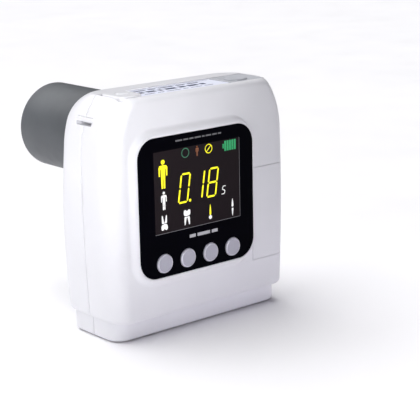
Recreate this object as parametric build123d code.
from build123d import *
import os

# Portable hand-held dental X-ray unit, in millimetres.
# Origin: middle of the foot plane under the plinth. +Z up, the operator faces the
# display from -Y, the cone points along +Y and the battery grip is on the +X side.

# ---------------------------------------------------------------- driving dimensions
# housing
HALF_FOOT = 72.5          # half width at the lower edge of the body
HALF_WAIST = 74.6         # half width at the widest height
HALF_SHOULDER = 74.0      # half width where the shoulder arcs begin
HALF_DECK = 61.3          # half width of the flat top
DECK_TAPER = 0.3          # share of an inset that narrows the flat top
BODY_LOW = 13.5           # lower edge of the body, above the plinth
WAIST_Z = 72.0
SHOULDER_Z = 122.0
BODY_TOP = 157.0
FRONT_Y = -32.6
BACK_Y = 29.2
SEAM_Y = -1.2             # parting plane of the two shells
SEAM_GAP = 0.3
WALL = 2.5
TOP_WALL = 5.0
FRONT_ROUND = 12.0
BACK_ROUND = 12.0
EDGE_ROUND = 3.5          # lower edge of the body
DECK_ROUND = 4.0          # front edge of the flat top
REAR_TOP_ROUND = 18.0     # rear edge of the flat top
REACH = 90.0              # further out than any surface of the body
TINY = 0.01

PLINTH_X = 140.2
PLINTH_Y = 51.6
PLINTH_LOW = 1.0
PLINTH_ROUND = 11.0
FOOT_R = 5.0
FOOT_H = 1.8
FOOT_EDGE = 0.5
FOOT_SPOTS = [(x, y) for x in (-58.0, 58.0) for y in (-17.0, 17.0)]

# display
PANEL_X = -8.4            # middle of the display panel
PANEL_Z = 85.9
PANEL_W = 94.8
PANEL_H = 90.6
PANEL_R = 13.0
PANEL_Y = -35.65          # front surface of the window
PANEL_T = 2.0
PANEL_EDGE = 0.4
LIP = 0.9                 # rim of the raised surround
FLANK = 3.6               # sloped flank of the raised surround, above and below
FLANK_LEFT, FLANK_RIGHT = 4.2, 0.6    # shallow on the left, steep beside the battery cover
LIP_Y = -35.3
LCD_Z = 95.8
LCD_W = 76.9
LCD_H = 58.0
LCD_ROUND = 1.0
LCD_GAP = 0.6             # between the window and the LCD
GASKET_T = 0.4
GASKET_RIM = 1.5
BOARD_T = 1.6
DISPLAY_BOARD_Y = -27.5   # front surface of the display board
DISPLAY_BOARD_W = 91.2
DISPLAY_BOARD_H = 88.0

# the four keys under the screen
KEY_R = 6.5
KEY_PITCH = 19.05
KEY_Z = 49.65
KEY_PROUD = 1.0
KEY_EDGE = 0.7
KEY_TRAVEL = 0.8
KEY_GAP = 0.2
KEY_SWITCH = 5.2          # side of a key switch
FLANGE = 1.2              # how far a key's flange stands out past its cap
FLANGE_T = 0.9
SLACK = 0.1               # play left between neighbouring pieces

# top deck
DECK_FRONT = -26.8
LABEL_X0 = -41.8
LABEL_X1 = 30.3
LABEL_SUNK = 0.6
LABEL_T = 1.5
DECK_CORNER = 0.5         # corner radius of the plates in the deck
POWER_X, POWER_Y, POWER_R = -50.0, -14.5, 4.5
POWER_PROUD = 0.5
POWER_EDGE = 0.8
POWER_SWITCH = (6.0, 2.0)         # side and height
BEZEL_X0 = -60.5
BEZEL_BACK = -3.6
BEZEL_RAISE = 1.2
BEZEL_ROUND = 6.0
BEZEL_EDGE = 0.6
EXPOSE_X, EXPOSE_Y, EXPOSE_R = 44.3, -13.8, 7.5
EXPOSE_PROUD = 0.3
EXPOSE_EDGE = 1.0
EXPOSE_HOLLOW, EXPOSE_HOLLOW_R = 0.5, 40.0
EXPOSE_SWITCH = (8.0, 1.2)        # side and height
DISH_DEEP, DISH_R = 1.3, 60.0
DECK_RIGHT = 58.5
TOP_BOARD_Z = 146.4
TOP_BOARD = (-53.2, 53.2, -24.0, -3.0)   # x and y limits

# strap bars
STRAP_Z0, STRAP_Z1 = 138.9, 144.4
STRAP_Y = 16.0
STRAP_BAR_Z0, STRAP_BAR_Z1 = 141.1, 143.3
STRAP_X0, STRAP_X1 = 65.0, 70.2
STRAP_BAR_W = 2.6
STRAP_BAR_TAIL = 2.0      # length of bar held in the shells at each end
STRAP_BAR_EDGE = 0.8
STRAP_BOSS = (7.0, 22.0, 2.2)     # depth, length and wall of the boss round a slot

# battery side
COVER_X0 = 40.6
COVER_Z0, COVER_Z1 = 35.3, 99.1
COVER_GAP = 0.15
TAB_Z, TAB_H = (46.0, 82.0), 7.0
LATCH_Y, LATCH_Z = -18.0, 67.0
LATCH_W, LATCH_H = 6.0, 10.0
LATCH_X0, LATCH_X1 = 71.6, 75.1
LATCH_FLANGE = 1.0
TRAY = (41.8, 70.5, -24.0, -2.5, 36.2, 98.2)      # x, y and z limits
TRAY_WALL = 1.2
PACK = (44.4, 68.4, -27.0, -4.0, 38.0, 96.5)
PACK_ROUND = 2.0
CONTACT_Y, CONTACT_W, CONTACT_Z = (-21.0, -15.0, -9.0), 3.6, (60.0, 72.0)
CONTACT_GAP = 0.05

# X-ray tank and cone
CONE_X = -8.4
CONE_Z = 115.4
CONE_R = 30.0
CONE_WALL = 3.0
CONE_Y0 = 26.2
CONE_SHOULDER = 29.5      # the cone's full radius starts here, just clear of the shell
CONE_SHOULDER_STEP = 1.4  # its root is this much thinner, and passes through the shell
CONE_Y1 = 125.0
CONE_EDGE = 0.8
CONE_HOLE = 0.3           # clearance round the root in the rear shell
LINER_T = 0.8
TANK = (-49.0, 31.0, -13.0, 23.3, 80.0, 143.0)    # x, y and z limits
TANK_WALL = 3.0
LID_T = 3.0
BEAM_R = 19.0             # window of the tank
APERTURE_R = 6.0
FILTER_R, FILTER_T = 18.0, 1.5
FLANGE_R, FLANGE_PLATE, SPIGOT_R, SPIGOT_L = 36.0, 2.6, 22.0, 9.4
BULB_X, BULB_Y, BULB_R, BULB_END = (-38.0, 18.0), 8.0, 10.0, 4.0
HV_CORE = (-39.0, 20.0, -8.0, 18.0, 84.0, 101.0)

# screws
SCREWS = [(-62.0, 24.0), (62.0, 24.0), (-64.0, 84.0), (63.5, 112.0), (-57.0, 145.5), (57.0, 145.5)]
SCREW_R = 1.5
SCREW_L = 22.0
SCREW_TIP = -18.0         # bottom of the screw holes in the front shell
HEAD_R = 2.8
HEAD_T = 2.2
SOCKET_R = 1.2
SOCKET_FLOOR = 0.9
SEAT_Y = 8.0
BOSS_FRONT_R, BOSS_REAR_R = 3.6, 4.8
TANK_SCREW_L = 11.0
TANK_BOSS_R, TANK_BOSS_L, TANK_BOSS_IN = 3.5, 14.0, 5.0

# electronics
CHASSIS = (92.5, 88.0, 105.0, 3.0)       # middle height, width, height, corner radius
CHASSIS_Y0, CHASSIS_Y1 = -21.0, -19.5
POSTS = [(x, z) for x in (-49.0, 32.0) for z in (46.0, 126.0)]
POST_R = 2.5
MAIN_BOARD = (33.0, 58.4, 31.0, 135.0)   # x and z limits
MAIN_BOARD_Y = 6.0
PROCESSOR = (40.0, 54.0, 70.0, 84.0, 1.4)
BUZZER_X, BUZZER_Z, BUZZER_R, BUZZER_T = 47.0, 122.0, 6.0, 5.9
RIBBON_X = (34.5, 37.0)
RIBBON_T, RIBBON_Z, RIBBON_TOP, RIBBON_SAG = 0.3, 33.0, 50.0, 0.4
INVERTER = (-54.0, 28.0, -14.0, 20.0)    # x and y limits
INVERTER_Z = 22.0
CORE = (-46.0, -16.0, -9.0, 15.0, 24.0)  # x and y limits, height
CORE_WINDOW = (-39.0, -23.0, 7.4, 16.4)  # x limits, heights above the board
CAN_X, CAN_Y, CAN_PITCH, CAN_R, CAN_H, CAN_EDGE = -3.0, 3.0, 12.0, 5.0, 30.0, 0.8

# charging socket in the rear shell
JACK_X, JACK_Z, JACK_R, JACK_L = 47.0, 22.0, 4.0, 11.2
JACK_BORE_R, JACK_BORE_L, JACK_PIN_R = 2.75, 9.0, 1.05
JACK_SUNK, JACK_PIN_SUNK = 0.3, 1.5

NODES = {}


# ---------------------------------------------------------------- helpers
def block(x0, x1, y0, y1, z0, z1):
    """Box between two corners."""
    return Pos((x0 + x1) / 2, (y0 + y1) / 2, (z0 + z1) / 2) * Box(x1 - x0, y1 - y0, z1 - z0)


def rod_y(x, z, r, y0, y1):
    """Cylinder along Y."""
    return Pos(x, (y0 + y1) / 2, z) * Rot(90, 0, 0) * Cylinder(r, y1 - y0)


def rod_x(y, z, r, x0, x1):
    """Cylinder along X."""
    return Pos((x0 + x1) / 2, y, z) * Rot(0, 90, 0) * Cylinder(r, x1 - x0)


def rod_z(x, y, r, z0, z1):
    """Cylinder along Z."""
    return Pos(x, y, (z0 + z1) / 2) * Cylinder(r, z1 - z0)


def tube_y(x, z, outer, inner, y0, y1):
    """Tube along Y."""
    return rod_y(x, z, outer, y0, y1) - rod_y(x, z, inner, y0 - 1, y1 + 1)


def slab_y(x, z, width, height, radius, y0, y1):
    """Plate with rounded corners, its thickness along Y."""
    plan = Plane.XZ.offset(-y1) * Pos(x, z) * RectangleRounded(width, height, radius)
    return extrude(plan, y1 - y0)


def slab_z(x0, x1, y0, y1, radius, z0, z1):
    """Plate with rounded corners, its thickness along Z."""
    plan = Pos((x0 + x1) / 2, (y0 + y1) / 2, z0) * RectangleRounded(x1 - x0, y1 - y0, radius)
    return extrude(plan, z1 - z0)


def slab_x(y, z, width, height, radius, x0, x1):
    """Plate with rounded corners, its thickness along X."""
    plan = Plane.YZ.offset(x0) * Pos(y, z) * RectangleRounded(width, height, radius)
    return extrude(plan, x1 - x0)


def ball(x, y, z, radius):
    return Pos(x, y, z) * Sphere(radius)


# ---------------------------------------------------------------- body form
def front_outline(inset, top_inset, low):
    """Closed front view of the body, inset from the outer surface."""
    deck = BODY_TOP - top_inset
    corner = HALF_DECK - DECK_TAPER * inset
    half = [(HALF_FOOT - inset, low), (HALF_WAIST - inset, WAIST_Z), (HALF_SHOULDER - inset, SHOULDER_Z)]
    side = ThreePointArc(*half)
    shoulder = TangentArc(half[2], (corner, deck), tangent=(0, 1))
    edge = [side, shoulder]
    mirrored = [mirror(curve, Plane.YZ) for curve in edge]
    top = Line((corner, deck), (-corner, deck))
    bottom = Line((HALF_FOOT - inset, low), (-HALF_FOOT + inset, low))
    return make_face(Curve() + edge + mirrored + [top, bottom])


def body_block(inset, top_inset, low, front_round, back_round):
    """Solid body with rounded front and back edges, inset from the outer surface."""
    front, back = FRONT_Y + inset, BACK_Y - inset
    face = Plane.XZ.offset(-back) * front_outline(inset, top_inset, low)
    body = extrude(face, back - front)
    deck = BODY_TOP - top_inset
    for y, radius in ((front, front_round), (back, back_round)):
        sides = body.edges().filter_by(
            lambda e: abs(e.center().Y - y) < TINY and low + 1 < e.center().Z < deck - 1)
        body = fillet(sides, radius)
    return body & side_profile(inset, top_inset, low)


def side_profile(inset, top_inset, low):
    """Side view of the body, extruded across its whole width: it rounds the flat top's edges."""
    front, back, deck = FRONT_Y + inset, BACK_Y - inset, BODY_TOP - top_inset
    nose, heel = DECK_ROUND - inset / 2, REAR_TOP_ROUND - top_inset
    edge = [Line((front, low), (front, deck - nose)),
            RadiusArc((front, deck - nose), (front + nose, deck), nose),
            Line((front + nose, deck), (back - heel, deck)),
            RadiusArc((back - heel, deck), (back, deck - heel), heel),
            Line((back, deck - heel), (back, low)),
            Line((back, low), (front, low))]
    return extrude(Plane.YZ.offset(-REACH) * make_face(Curve() + edge), 2 * REACH)


def plinth(inset, high):
    """Plinth under the body, inset from its outer surface."""
    half_x, half_y = PLINTH_X / 2 - inset, PLINTH_Y / 2 - inset
    return slab_z(-half_x, half_x, -half_y, half_y, PLINTH_ROUND - inset, PLINTH_LOW + inset, high)


def surround():
    """Raised surround of the display, with sloped flanks."""
    foot, rim = LIP + FLANK, LIP
    middle = PANEL_X + (FLANK_RIGHT - FLANK_LEFT) / 2
    width, height = PANEL_W + 2 * LIP + FLANK_LEFT + FLANK_RIGHT, PANEL_H + 2 * foot
    flank = Plane.XZ.offset(-FRONT_Y) * Pos(middle, PANEL_Z) * RectangleRounded(
        width, height, PANEL_R + foot)
    crest = Plane.XZ.offset(-LIP_Y) * Pos(PANEL_X, PANEL_Z) * RectangleRounded(
        PANEL_W + 2 * rim, PANEL_H + 2 * rim, PANEL_R + rim)
    root = slab_y(middle, PANEL_Z, width, height, PANEL_R + foot, FRONT_Y, FRONT_Y + WALL)
    return loft([flank, crest]) + root


KEY_X = [PANEL_X + KEY_PITCH * (i - 1.5) for i in range(4)]
COVER_BOX = (COVER_X0, REACH, -REACH, SEAM_Y, COVER_Z0, COVER_Z1)
WINDOW_BACK = PANEL_Y + PANEL_T
DECK_FLOOR = BODY_TOP - LABEL_SUNK - LABEL_T


# ---------------------------------------------------------------- housing
def hollow_body():
    """Outer solid and the room inside it."""
    outer = body_block(0, 0, BODY_LOW, FRONT_ROUND, BACK_ROUND)
    low_edges = outer.edges().filter_by(lambda e: abs(e.center().Z - BODY_LOW) < TINY)
    outer = fillet(low_edges, EDGE_ROUND)
    outer += plinth(0, BODY_LOW + WALL)
    inner = body_block(WALL, TOP_WALL, BODY_LOW + WALL, FRONT_ROUND - WALL, BACK_ROUND - WALL)
    inner += plinth(WALL, BODY_LOW + 2 * WALL)
    return outer, inner


def strap_pocket(side):
    """Boss round a strap slot, and the slot itself."""
    depth, length, wall = STRAP_BOSS
    near, far = sorted((side * (STRAP_X0 - depth), side * (STRAP_X0 - depth + 10)))
    boss = block(near, far, SEAM_Y - length / 2, SEAM_Y + length / 2, STRAP_Z0 - wall, STRAP_Z1 + wall)
    near, far = sorted((side * STRAP_X0, side * REACH))
    pocket = block(near, far, SEAM_Y - STRAP_Y / 2, SEAM_Y + STRAP_Y / 2, STRAP_Z0, STRAP_Z1)
    return boss, pocket


def strap_bar(side, grow=0.0):
    near, far = sorted((side * (STRAP_X1 - STRAP_BAR_W - grow), side * (STRAP_X1 + grow)))
    half = STRAP_Y / 2 + STRAP_BAR_TAIL + grow
    return block(near, far, SEAM_Y - half, SEAM_Y + half, STRAP_BAR_Z0 - grow, STRAP_BAR_Z1 + grow)


def shell_blanks(outer, inner):
    """The two hollow halves, before their openings are cut."""
    skin = outer - inner
    pockets = [strap_pocket(side) for side in (-1, 1)]
    for boss, pocket in pockets:
        skin += boss & outer
    for (boss, pocket), side in zip(pockets, (-1, 1)):
        skin -= pocket
        skin -= strap_bar(side, 2 * TINY)
    for x, y in FOOT_SPOTS:
        skin -= rod_z(x, y, FOOT_R + SLACK, PLINTH_LOW - 1, FOOT_H + SLACK)
    front_half = block(-REACH, REACH, -REACH, SEAM_Y - SEAM_GAP / 2, -REACH, 2 * REACH)
    rear_half = block(-REACH, REACH, SEAM_Y + SEAM_GAP / 2, REACH, -REACH, 2 * REACH)
    return skin & front_half, skin & rear_half


def cut_display(front):
    """Surround of the display, its recess, and the openings for the LCD and the keys."""
    ahead, behind = FRONT_Y - 2 * WALL, FRONT_Y + 2 * WALL
    front += surround()
    front -= slab_y(PANEL_X, PANEL_Z, PANEL_W + 3 * SLACK, PANEL_H + 3 * SLACK, PANEL_R + 1.5 * SLACK,
                    PANEL_Y - WALL, WINDOW_BACK + GASKET_T + SLACK / 2)
    front -= slab_y(PANEL_X, LCD_Z, LCD_W + 8 * SLACK, LCD_H + 8 * SLACK, LCD_ROUND + 5 * SLACK,
                    ahead, behind)
    for x in KEY_X:
        front -= rod_y(x, KEY_Z, KEY_R + KEY_GAP, ahead, behind)
    return front


def cut_deck(front):
    """Recess of the deck plates, and the holes of the two keys in it."""
    above, below = BODY_TOP + TOP_WALL, BODY_TOP - 2 * TOP_WALL
    front -= block(LABEL_X0, DECK_RIGHT, DECK_FRONT, SEAM_Y + 1, DECK_FLOOR, above)
    front -= slab_z(BEZEL_X0, LABEL_X0 + TINY, DECK_FRONT, BEZEL_BACK, DECK_CORNER + SLACK,
                    DECK_FLOOR, above)
    front -= rod_z(POWER_X, POWER_Y, POWER_R + KEY_GAP, below, above)
    front -= rod_z(EXPOSE_X, EXPOSE_Y, EXPOSE_R + KEY_GAP, below, above)
    return front


def build_shells():
    outer, inner = hollow_body()
    front, rear = shell_blanks(outer, inner)
    front = cut_deck(cut_display(front))
    front -= block(*COVER_BOX)
    # screw bosses: blind in the front shell, deep counterbores in the rear shell
    for x, z in SCREWS:
        front += rod_y(x, z, BOSS_FRONT_R, FRONT_Y + WALL - 0.5, SEAM_Y - SEAM_GAP / 2)
        front -= rod_y(x, z, SCREW_R + SLACK / 2, SCREW_TIP, SEAM_Y)
        rear += rod_y(x, z, BOSS_REAR_R, SEAM_Y + SEAM_GAP / 2, BACK_Y - WALL + 0.3)
        rear -= rod_y(x, z, SCREW_R + SLACK, SEAM_Y, SEAT_Y + 1)
        rear -= rod_y(x, z, HEAD_R + 3 * SLACK, SEAT_Y, BACK_Y + WALL)
    root = CONE_R - CONE_SHOULDER_STEP
    rear -= rod_y(CONE_X, CONE_Z, root + CONE_HOLE, BACK_Y - 5 * WALL, BACK_Y + WALL)
    rear -= rod_y(JACK_X, JACK_Z, JACK_R + SLACK, BACK_Y - 2 * WALL, BACK_Y + WALL)
    NODES["front_shell"] = front
    NODES["rear_shell"] = rear
    for name, side in (("strap_bar_left", -1), ("strap_bar_right", 1)):
        bar = strap_bar(side)
        NODES[name] = fillet(bar.edges().filter_by(Axis.Y), STRAP_BAR_EDGE)
    return outer, inner


def screw(x, z, seat, length, way):
    """Socket screw along Y: its head is on the side that way points to."""
    head = rod_y(x, z, HEAD_R, *sorted((seat, seat + way * HEAD_T)))
    shank = rod_y(x, z, SCREW_R, *sorted((seat, seat - way * length)))
    socket = rod_y(x, z, SOCKET_R, *sorted((seat + way * SOCKET_FLOOR, seat + way * (HEAD_T + 1))))
    return head + shank - socket


def build_feet_and_screws():
    for i, (x, y) in enumerate(FOOT_SPOTS):
        foot = rod_z(x, y, FOOT_R, 0, FOOT_H)
        NODES[f"rubber_foot_{i + 1}"] = fillet(foot.edges().sort_by(Axis.Z)[0], FOOT_EDGE)
    NODES["shell_screws"] = Compound(children=[screw(x, z, SEAT_Y, SCREW_L, 1) for x, z in SCREWS])


# ---------------------------------------------------------------- display
def build_window():
    window = slab_y(PANEL_X, PANEL_Z, PANEL_W, PANEL_H, PANEL_R, PANEL_Y, WINDOW_BACK)
    front_rim = window.edges().filter_by(lambda e: abs(e.center().Y - PANEL_Y) < TINY)
    window = fillet(front_rim, PANEL_EDGE)
    for x in KEY_X:
        window -= rod_y(x, KEY_Z, KEY_R + KEY_GAP, PANEL_Y - 1, WINDOW_BACK + 1)
    NODES["display_window"] = window

    edge = 2 * SLACK + PANEL_EDGE - SLACK
    ring = slab_y(PANEL_X, PANEL_Z, PANEL_W - 2 * edge, PANEL_H - 2 * edge, PANEL_R - edge,
                  WINDOW_BACK, WINDOW_BACK + GASKET_T)
    hole = edge + GASKET_RIM
    NODES["window_gasket"] = ring - slab_y(PANEL_X, PANEL_Z, PANEL_W - 2 * hole, PANEL_H - 2 * hole,
                                           PANEL_R - hole, WINDOW_BACK - 1, WINDOW_BACK + 1)
    NODES["lcd_module"] = slab_y(PANEL_X, LCD_Z, LCD_W, LCD_H, LCD_ROUND, WINDOW_BACK + LCD_GAP,
                                 DISPLAY_BOARD_Y - SLACK)
    NODES["display_board"] = slab_y(PANEL_X, PANEL_Z, DISPLAY_BOARD_W, DISPLAY_BOARD_H, 2 * LCD_ROUND,
                                    DISPLAY_BOARD_Y, DISPLAY_BOARD_Y + BOARD_T)


def build_keys():
    inside = FRONT_Y + WALL + SLACK
    for i, x in enumerate(KEY_X):
        cap = rod_y(x, KEY_Z, KEY_R, PANEL_Y - KEY_PROUD, inside)
        cap = fillet(cap.edges().sort_by(Axis.Y)[0], KEY_EDGE)
        flange = rod_y(x, KEY_Z, KEY_R + FLANGE, inside, inside + FLANGE_T)
        NODES[f"key_{i + 1}"] = cap + flange
        switch_top = inside + FLANGE_T + KEY_TRAVEL + SLACK
        half = KEY_SWITCH / 2
        NODES[f"key_switch_{i + 1}"] = block(x - half, x + half, switch_top, DISPLAY_BOARD_Y,
                                             KEY_Z - half, KEY_Z + half)


# ---------------------------------------------------------------- top deck
def build_deck_plates():
    rear = SEAM_Y - SEAM_GAP
    front = DECK_FRONT + SLACK
    floor = DECK_FLOOR + 2 * TINY
    NODES["top_label_plate"] = slab_z(LABEL_X0 + SLACK, LABEL_X1 - SLACK, front, rear, DECK_CORNER,
                                      floor, BODY_TOP - LABEL_SUNK)

    x0, x1, back = BEZEL_X0 + SLACK, LABEL_X0 - SLACK, BEZEL_BACK - SLACK
    base = slab_z(x0, x1, front, back, DECK_CORNER + SLACK / 2, floor, BODY_TOP)
    pad = slab_z(x0, x1, front, back, BEZEL_ROUND, BODY_TOP, BODY_TOP + BEZEL_RAISE)
    pad = fillet(pad.edges().sort_by(Axis.Z)[-8:], BEZEL_EDGE)
    NODES["power_bezel"] = base + pad - rod_z(POWER_X, POWER_Y, POWER_R + KEY_GAP,
                                              floor - 1, BODY_TOP + 2 * BEZEL_RAISE)

    dish = slab_z(LABEL_X1 + SLACK, DECK_RIGHT - SLACK, front, rear, DECK_CORNER, floor, BODY_TOP - SLACK)
    dish -= ball(EXPOSE_X, EXPOSE_Y, BODY_TOP - DISH_DEEP + DISH_R, DISH_R)
    NODES["exposure_surround"] = dish - rod_z(EXPOSE_X, EXPOSE_Y, EXPOSE_R + KEY_GAP,
                                              floor - 1, BODY_TOP + 1)


def deck_key(x, y, radius, top, edge):
    """Cap of a key in the deck, with the flange that holds it in."""
    under = BODY_TOP - TOP_WALL - 2 * SLACK
    cap = rod_z(x, y, radius, under, top)
    cap = fillet(cap.edges().sort_by(Axis.Z)[-1], edge)
    return cap, rod_z(x, y, radius + FLANGE, under - FLANGE_T, under)


def build_deck_keys():
    cap, flange = deck_key(POWER_X, POWER_Y, POWER_R, BODY_TOP + BEZEL_RAISE + POWER_PROUD, POWER_EDGE)
    NODES["power_key"] = cap + flange
    top = BODY_TOP + EXPOSE_PROUD
    cap, flange = deck_key(EXPOSE_X, EXPOSE_Y, EXPOSE_R, top, EXPOSE_EDGE)
    cap -= ball(EXPOSE_X, EXPOSE_Y, top - EXPOSE_HOLLOW + EXPOSE_HOLLOW_R, EXPOSE_HOLLOW_R)
    NODES["exposure_key"] = cap + flange

    board_top = TOP_BOARD_Z + BOARD_T
    NODES["top_board"] = slab_z(*TOP_BOARD, BOARD_T, TOP_BOARD_Z, board_top)
    for name, x, y, (side, height) in (("power_switch", POWER_X, POWER_Y, POWER_SWITCH),
                                       ("exposure_switch", EXPOSE_X, EXPOSE_Y, EXPOSE_SWITCH)):
        NODES[name] = block(x - side / 2, x + side / 2, y - side / 2, y + side / 2,
                            board_top, board_top + height)


# ---------------------------------------------------------------- battery side
def build_battery(outer, inner):
    x0, x1, y0, y1, z0, z1 = COVER_BOX
    gap_box = block(x0 + COVER_GAP, x1, y0, y1 - SEAM_GAP / 2 - COVER_GAP, z0 + COVER_GAP, z1 - COVER_GAP)
    cover = (outer & gap_box) - inner
    back = FRONT_Y + WALL            # inner surface of the cover
    for z in TAB_Z:
        cover += block(COVER_X0 - 1.8, COVER_X0 + 1.4, back + 0.2, back + 1.7, z, z + TAB_H)
        cover += block(COVER_X0 + 0.4, COVER_X0 + 1.4, back - 0.9, back + 1.1, z, z + TAB_H)
    cover -= slab_x(LATCH_Y, LATCH_Z, LATCH_W + 4 * SLACK, LATCH_H + 4 * SLACK, 1.2, LATCH_X0 - 4, REACH)
    NODES["battery_cover"] = cover
    button = slab_x(LATCH_Y, LATCH_Z, LATCH_W, LATCH_H, 1.0, LATCH_X0, LATCH_X1)
    button += slab_x(LATCH_Y, LATCH_Z, LATCH_W + 2 * LATCH_FLANGE, LATCH_H + 2 * LATCH_FLANGE, 1.0,
                     LATCH_X0 - LATCH_FLANGE, LATCH_X0)
    NODES["cover_latch"] = button

    x0, x1, y0, y1, z0, z1 = TRAY
    w = TRAY_WALL
    NODES["battery_tray"] = block(*TRAY) - block(x0 + w, REACH, y0 - 2 * w, y1 - w, z0 + w, z1 - w)
    pack = block(*PACK)
    NODES["battery_pack"] = fillet(pack.edges().filter_by(Axis.Z), PACK_ROUND)
    start, end = x0 + w + CONTACT_GAP, PACK[0] - CONTACT_GAP
    strips = [block(start, end, y, y + CONTACT_W, *CONTACT_Z) for y in CONTACT_Y]
    NODES["battery_contacts"] = Compound(children=strips)


# ---------------------------------------------------------------- electronics
def build_boards():
    middle_z, width, height, corner = CHASSIS
    NODES["chassis_plate"] = slab_y(PANEL_X, middle_z, width, height, corner, CHASSIS_Y0, CHASSIS_Y1)
    posts = [rod_y(x, z, POST_R, DISPLAY_BOARD_Y + BOARD_T, CHASSIS_Y0) for x, z in POSTS]
    NODES["standoffs"] = Compound(children=posts)
    x0, x1, z0, z1 = MAIN_BOARD
    board_back = MAIN_BOARD_Y + BOARD_T
    NODES["main_board"] = block(x0, x1, MAIN_BOARD_Y, board_back, z0, z1)
    x0, x1, z0, z1, thick = PROCESSOR
    NODES["processor"] = block(x0, x1, board_back, board_back + thick, z0, z1)
    NODES["buzzer"] = rod_y(BUZZER_X, BUZZER_Z, BUZZER_R, board_back, board_back + BUZZER_T)
    low, bend = RIBBON_Z, RIBBON_Z + RIBBON_SAG
    start = DISPLAY_BOARD_Y + BOARD_T
    NODES["ribbon_cable"] = (block(*RIBBON_X, start, start + RIBBON_T, bend, RIBBON_TOP)
                             + block(*RIBBON_X, start, MAIN_BOARD_Y, low, bend)
                             + block(*RIBBON_X, MAIN_BOARD_Y - RIBBON_T, MAIN_BOARD_Y, bend, RIBBON_TOP))


def build_power_section():
    board_top = INVERTER_Z + BOARD_T
    NODES["inverter_board"] = slab_z(*INVERTER, 2.0, INVERTER_Z, board_top)
    x0, x1, y0, y1, height = CORE
    core = block(x0, x1, y0, y1, board_top, board_top + height)
    x0, x1, low, high = CORE_WINDOW
    core -= block(x0, x1, -REACH, REACH, board_top + low, board_top + high)
    NODES["inverter_transformer"] = core
    for i in range(3):
        can = rod_z(CAN_X + CAN_PITCH * i, CAN_Y, CAN_R, board_top, board_top + CAN_H)
        NODES[f"storage_capacitor_{i + 1}"] = fillet(can.edges().sort_by(Axis.Z)[-1], CAN_EDGE)
    mouth = BACK_Y - JACK_SUNK
    jack = rod_y(JACK_X, JACK_Z, JACK_R, mouth - JACK_L, mouth)
    jack -= rod_y(JACK_X, JACK_Z, JACK_BORE_R, BACK_Y - JACK_BORE_L, BACK_Y + 1)
    pin = rod_y(JACK_X, JACK_Z, JACK_PIN_R, BACK_Y - JACK_BORE_L - 1, BACK_Y - JACK_PIN_SUNK)
    NODES["charging_jack"] = jack + pin


# ---------------------------------------------------------------- X-ray head
def build_tank():
    x0, x1, y0, y1, z0, z1 = TANK
    w, inset = TANK_WALL, TANK_BOSS_IN
    tank = block(*TANK) - block(x0 + w, x1 - w, y0 - 1, y1 - w, z0 + w, z1 - w)
    tank -= rod_y(CONE_X, CONE_Z, BEAM_R + SLACK, y1 - w - 1, y1 + 1)
    corners = [(x, z) for x in (x0 + inset, x1 - inset) for z in (z0 + inset, z1 - inset)]
    lid = slab_y((x0 + x1) / 2, (z0 + z1) / 2, x1 - x0, z1 - z0, 2.0, y0 - LID_T, y0)
    for x, z in corners:
        tank += rod_y(x, z, TANK_BOSS_R, y0, y0 + TANK_BOSS_L) & block(*TANK)
        tank -= rod_y(x, z, SCREW_R + SLACK / 2, y0 - 1, y0 + TANK_SCREW_L - 2)
        lid -= rod_y(x, z, SCREW_R + SLACK, y0 - LID_T - 1, y0 + 1)
    NODES["tank_housing"] = tank
    NODES["tank_lid"] = lid
    screws = [screw(x, z, y0 - LID_T, TANK_SCREW_L, -1) for x, z in corners]
    NODES["tank_screws"] = Compound(children=screws)
    bulb = rod_x(BULB_Y, CONE_Z, BULB_R, *BULB_X)
    NODES["tube_insert"] = fillet(bulb.edges(), BULB_END)
    NODES["hv_transformer"] = block(*HV_CORE)


def build_beam_path():
    face = TANK[3]
    NODES["collimator"] = tube_y(CONE_X, CONE_Z, BEAM_R, APERTURE_R, face - TANK_WALL, face)
    NODES["aluminium_filter"] = rod_y(CONE_X, CONE_Z, FILTER_R, face + SLACK, face + SLACK + FILTER_T)
    plate_back = face + FLANGE_PLATE
    seat = tube_y(CONE_X, CONE_Z, FLANGE_R, BEAM_R, face + SLACK / 2, plate_back)
    seat &= block(-REACH, REACH, 0, REACH, 0, TANK[5] - 2 * WALL)
    bore = CONE_R - CONE_WALL
    spigot_end = plate_back + SPIGOT_L
    NODES["cone_flange"] = seat + tube_y(CONE_X, CONE_Z, bore - SLACK, SPIGOT_R, plate_back, spigot_end)
    cone = tube_y(CONE_X, CONE_Z, CONE_R, bore, CONE_SHOULDER, CONE_Y1)
    tip = cone.edges().filter_by(lambda e: abs(e.center().Y - CONE_Y1) < TINY)
    cone = fillet(tip, CONE_EDGE)
    root = tube_y(CONE_X, CONE_Z, CONE_R - CONE_SHOULDER_STEP, bore, CONE_Y0, CONE_SHOULDER)
    NODES["cone_tube"] = cone + root
    NODES["cone_liner"] = tube_y(CONE_X, CONE_Z, bore - SLACK, bore - SLACK - LINER_T,
                                 spigot_end + SLACK, CONE_Y1 - 1)


outer_body, inner_body = build_shells()
build_feet_and_screws()
build_window()
build_keys()
build_deck_plates()
build_deck_keys()
build_battery(outer_body, inner_body)
build_boards()
build_power_section()
build_tank()
build_beam_path()

os.makedirs("parts", exist_ok=True)
for name, shape in NODES.items():
    export_step(shape, f"parts/{name}.step")
print(len(NODES), "nodes written")
